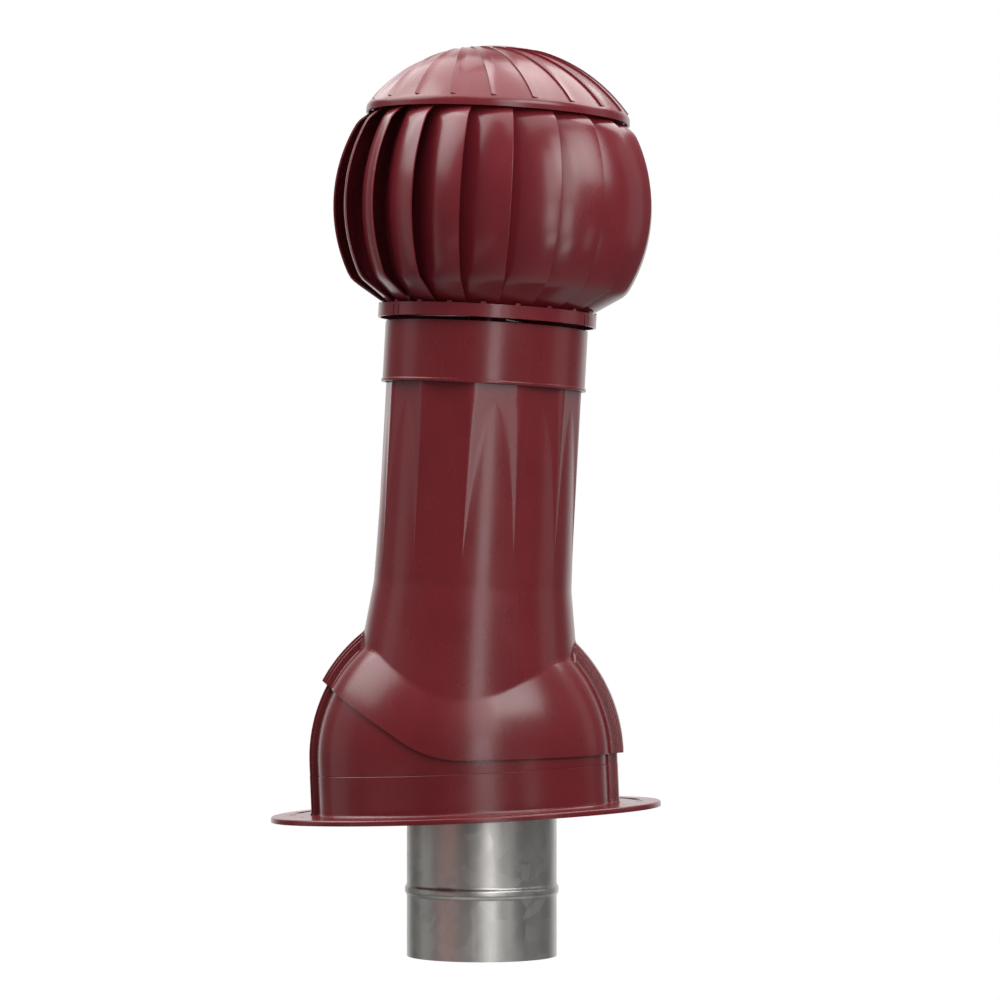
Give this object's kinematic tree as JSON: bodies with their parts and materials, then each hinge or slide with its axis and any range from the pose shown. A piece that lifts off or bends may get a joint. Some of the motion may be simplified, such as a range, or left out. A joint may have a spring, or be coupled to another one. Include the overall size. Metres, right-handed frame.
{
  "type": "roof turbine ventilator",
  "caption": "Wine-red roof turbine ventilator: bladed spherical rotor with domed cap on a stack whose hood tilts on a flanged base, galvanised duct below.",
  "frame": {"origin": "middle of the roof flange's underside, in the plane that lies on the roof", "axes": "+Z away from the roof, +X along the flange's long axis towards the side that the stack leans to, +Y away from the viewer in the picture"},
  "size_m": [0.4083, 0.33, 0.9133],
  "materials": {
    "hood_plastic": "satin moulded plastic, wine red",
    "rotor_plastic": "satin moulded plastic, wine red",
    "galvanised": "galvanised sheet, faint spangle",
    "steel": "bright zinc-plated steel",
    "black_plastic": "moulded, matt",
    "foam": "closed-cell foam",
    "gasket_foam": "closed-cell foam strip"
  },
  "bodies": {
    "base": {"base_flange": "hood_plastic", "flange_gasket": "gasket_foam"},
    "stack": {"stack_hood": "hood_plastic", "neck_collar": "hood_plastic", "duct": "galvanised", "insulation_sleeve": "foam", "duct_centring_ring": "black_plastic", "bearing_spider": "hood_plastic", "spindle": "steel", "lower_washer": "steel", "lower_spindle_nut": "steel", "lower_bearing_inner_race": "steel", "upper_bearing_inner_race": "steel", "lower_retaining_ring": "steel", "upper_retaining_ring": "steel", "upper_washer": "steel", "upper_spindle_nut": "steel"},
    "rotor": {"lower_bearing_outer_race": "steel", "lower_bearing_seals": "black_plastic", "upper_bearing_outer_race": "steel", "upper_bearing_seals": "black_plastic", "rotor_lower_ring": "rotor_plastic", "rotor_upper_ring": "rotor_plastic", "dome_cap": "rotor_plastic", "cap_screws": "steel", "blade_01": "rotor_plastic", "blade_02": "rotor_plastic", "blade_03": "rotor_plastic", "blade_04": "rotor_plastic", "blade_05": "rotor_plastic", "blade_06": "rotor_plastic", "blade_07": "rotor_plastic", "blade_08": "rotor_plastic", "blade_09": "rotor_plastic", "blade_10": "rotor_plastic", "blade_11": "rotor_plastic", "blade_12": "rotor_plastic", "blade_13": "rotor_plastic", "blade_14": "rotor_plastic", "blade_15": "rotor_plastic", "blade_16": "rotor_plastic", "blade_17": "rotor_plastic", "blade_18": "rotor_plastic", "blade_19": "rotor_plastic", "blade_20": "rotor_plastic"}
  },
  "joints": [
    {"name": "roof_pitch", "type": "hinge", "parent": "base", "child": "stack", "pos_m": [0, 0, 0.057], "axis": [0, -1, 0], "range_deg": [0, 31]},
    {"name": "turbine_spin", "type": "hinge", "parent": "stack", "child": "rotor", "pos_m": [0.05383, 0, 0.60597], "axis": [0.0976, 0, 0.9952], "continuous": true}
  ]
}
